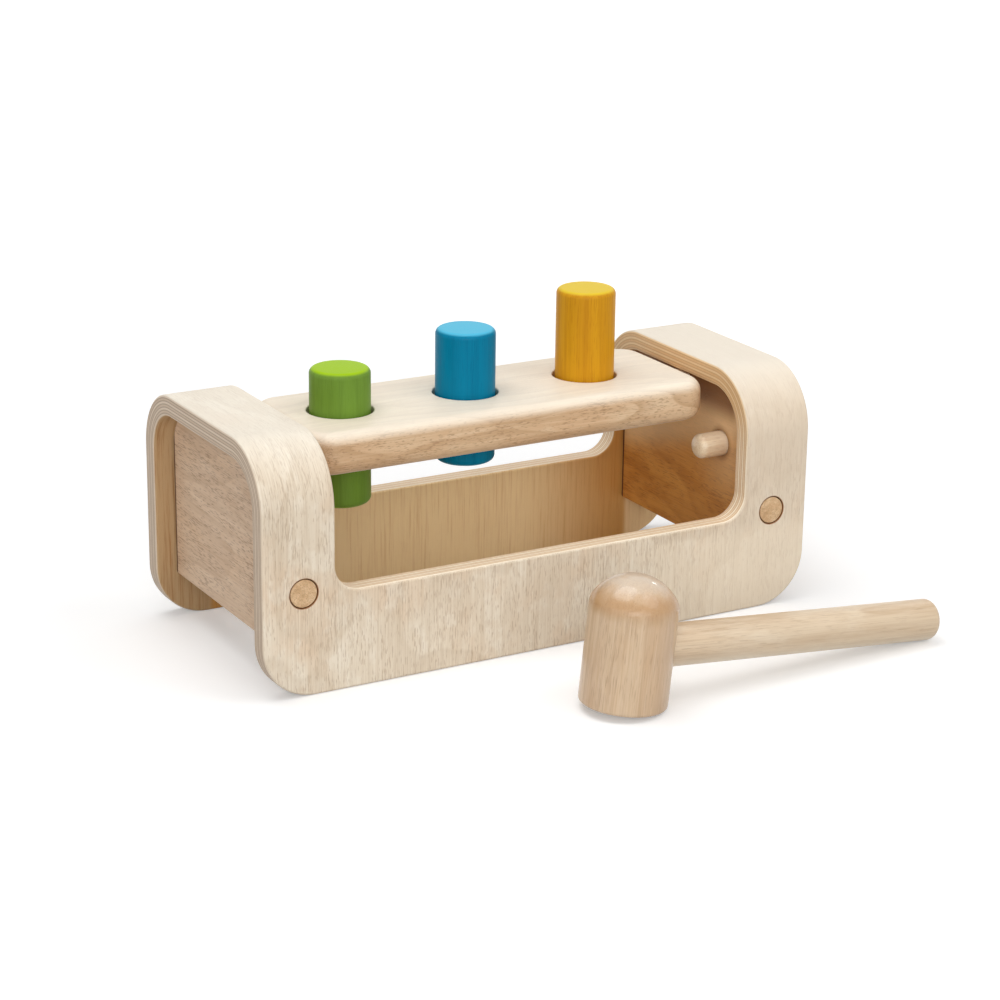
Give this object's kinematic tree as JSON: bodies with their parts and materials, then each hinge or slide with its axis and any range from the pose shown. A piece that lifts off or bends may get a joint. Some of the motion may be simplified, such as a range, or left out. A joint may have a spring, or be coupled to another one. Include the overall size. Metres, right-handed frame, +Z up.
{
  "type": "peg pounding bench",
  "caption": "Bent plywood pounding bench whose drilled board turns on end pivots and holds sliding coloured pegs; a wooden mallet stands beside it.",
  "frame": {"origin": "on the floor, at the middle of the bench's footprint", "axes": "+X along the bench to the right, +Y to the back, +Z up"},
  "size_m": [0.2809, 0.2018, 0.137],
  "materials": {
    "plywood": "pale veneer, clear matt lacquer",
    "panel_wood": "open-pored hardwood, clear matt lacquer",
    "board_wood": "fine-pored hardwood, sanded, clear matt lacquer",
    "green_paint": "satin stain with the grain showing",
    "blue_paint": "satin stain with the grain showing",
    "yellow_paint": "satin stain with the grain showing",
    "ring_rubber": "matt",
    "dowel_wood": "smooth, clear matt lacquer",
    "screw_steel": "zinc plated",
    "mallet_wood": "sanded, clear satin lacquer"
  },
  "bodies": {
    "bench": {"ply_shell": "plywood", "end_panel_left": "panel_wood", "end_panel_right": "panel_wood", "pivot_dowel_left": "dowel_wood", "pivot_dowel_right": "dowel_wood", "stop_dowel": "dowel_wood", "cover_plug_front_left": "dowel_wood", "cover_plug_front_right": "dowel_wood", "cover_plug_back_left": "dowel_wood", "cover_plug_back_right": "dowel_wood", "screw_front_left": "screw_steel", "screw_front_right": "screw_steel", "screw_back_left": "screw_steel", "screw_back_right": "screw_steel"},
    "board": {"peg_board": "board_wood", "grip_ring_green": "ring_rubber", "grip_ring_blue": "ring_rubber", "grip_ring_yellow": "ring_rubber"},
    "green_peg": {"peg_green": "green_paint"},
    "blue_peg": {"peg_blue": "blue_paint"},
    "yellow_peg": {"peg_yellow": "yellow_paint"},
    "mallet": {"mallet_head": "mallet_wood", "mallet_handle": "mallet_wood"}
  },
  "joints": [
    {"name": "board_turn", "type": "hinge", "parent": "bench", "child": "board", "pos_m": [0, 0, 0.0894], "axis": [1, 0, 0], "continuous": true},
    {"name": "green_slide", "type": "slide", "parent": "board", "child": "green_peg", "axis": [0, 0, 1], "range_m": [-0.0182, 0.0218]},
    {"name": "blue_slide", "type": "slide", "parent": "board", "child": "blue_peg", "axis": [0, 0, 1], "range_m": [-0.0279, 0.0121]},
    {"name": "yellow_slide", "type": "slide", "parent": "board", "child": "yellow_peg", "axis": [0, 0, 1], "range_m": [-0.0386, 0.0014]},
    {"name": "mallet_lift", "type": "slide", "parent": "bench", "child": "mallet", "axis": [0, 0, 1], "range_m": [0, 0.25]}
  ]
}
